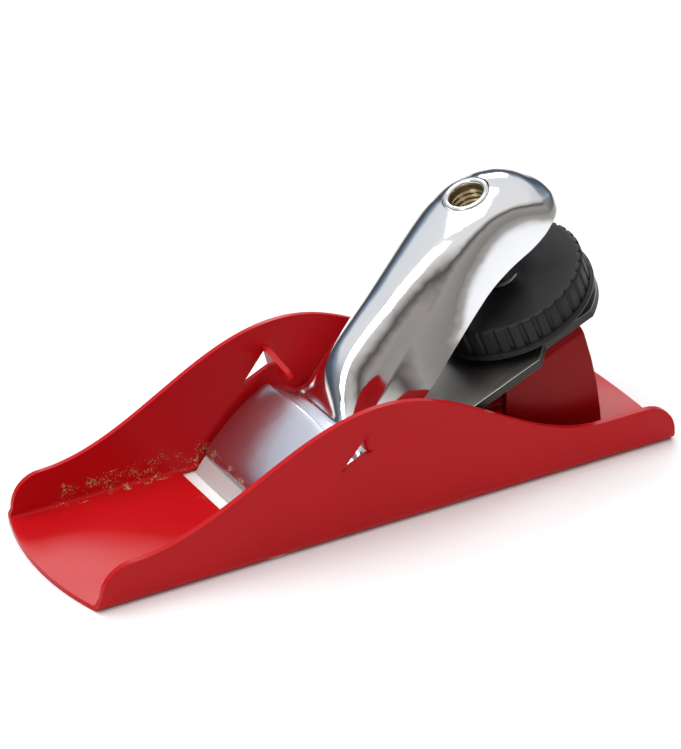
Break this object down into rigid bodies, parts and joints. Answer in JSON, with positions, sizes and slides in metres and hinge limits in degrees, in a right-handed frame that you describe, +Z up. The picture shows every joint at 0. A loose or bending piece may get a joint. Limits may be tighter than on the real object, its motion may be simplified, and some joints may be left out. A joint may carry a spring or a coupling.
{
  "type": "hand plane",
  "caption": "Small pressed-steel block plane: red sole with curved side walls, bevel-up iron, chromed lever cap tightened by a black thumbwheel screw.",
  "frame": {"origin": "on the resting plane of the sole, under the middle of the plane's bounding box", "axes": "+X from the toe to the heel, +Y across the sole towards the plane's left side looking along +X, +Z up"},
  "size_m": [0.1452, 0.0454, 0.0645],
  "materials": {
    "enamel": "glossy red enamel",
    "tool_steel": "ground and blued grey steel",
    "chrome": "polished chrome plate",
    "bush_steel": "zinc passivated",
    "zinc_steel": "zinc plated",
    "rivet_steel": "painted over with the body",
    "black_plastic": "satin black moulding"
  },
  "bodies": {
    "sole": {"body_shell": "enamel", "frog_bracket": "enamel", "frog_rivet_1": "rivet_steel", "frog_rivet_2": "rivet_steel", "frog_rivet_3": "rivet_steel", "frog_rivet_4": "rivet_steel"},
    "iron": {"cutting_iron": "tool_steel"},
    "cap": {"lever_cap": "chrome", "threaded_bush": "bush_steel"},
    "foot": {"pressure_foot": "zinc_steel"},
    "wheel": {"thumbwheel": "black_plastic", "clamp_screw": "zinc_steel"}
  },
  "joints": [
    {"name": "iron_slide", "type": "slide", "parent": "sole", "child": "iron", "axis": [0.9219, 0, 0.3875], "range_m": [-0.0008, 0.006]},
    {"name": "cap_rock", "type": "hinge", "parent": "sole", "child": "cap", "pos_m": [-0.00516, 0, 0.02068], "axis": [0, 1, 0], "range_deg": [0, 2.1]},
    {"name": "foot_travel", "type": "slide", "parent": "cap", "child": "foot", "axis": [-0.3875, 0, 0.9219], "range_m": [0, 0.002]},
    {"name": "thumbwheel_spin", "type": "hinge", "parent": "foot", "child": "wheel", "pos_m": [0.04034, 0, 0.03656], "axis": [-0.3875, 0, 0.9219], "range_deg": [0, 580]}
  ],
  "couplings": [
    {"joint": "thumbwheel_spin", "follows": "foot_travel", "rad_per_m": 5026.5},
    {"joint": "cap_rock", "follows": "foot_travel", "rad_per_m": 18.018}
  ]
}
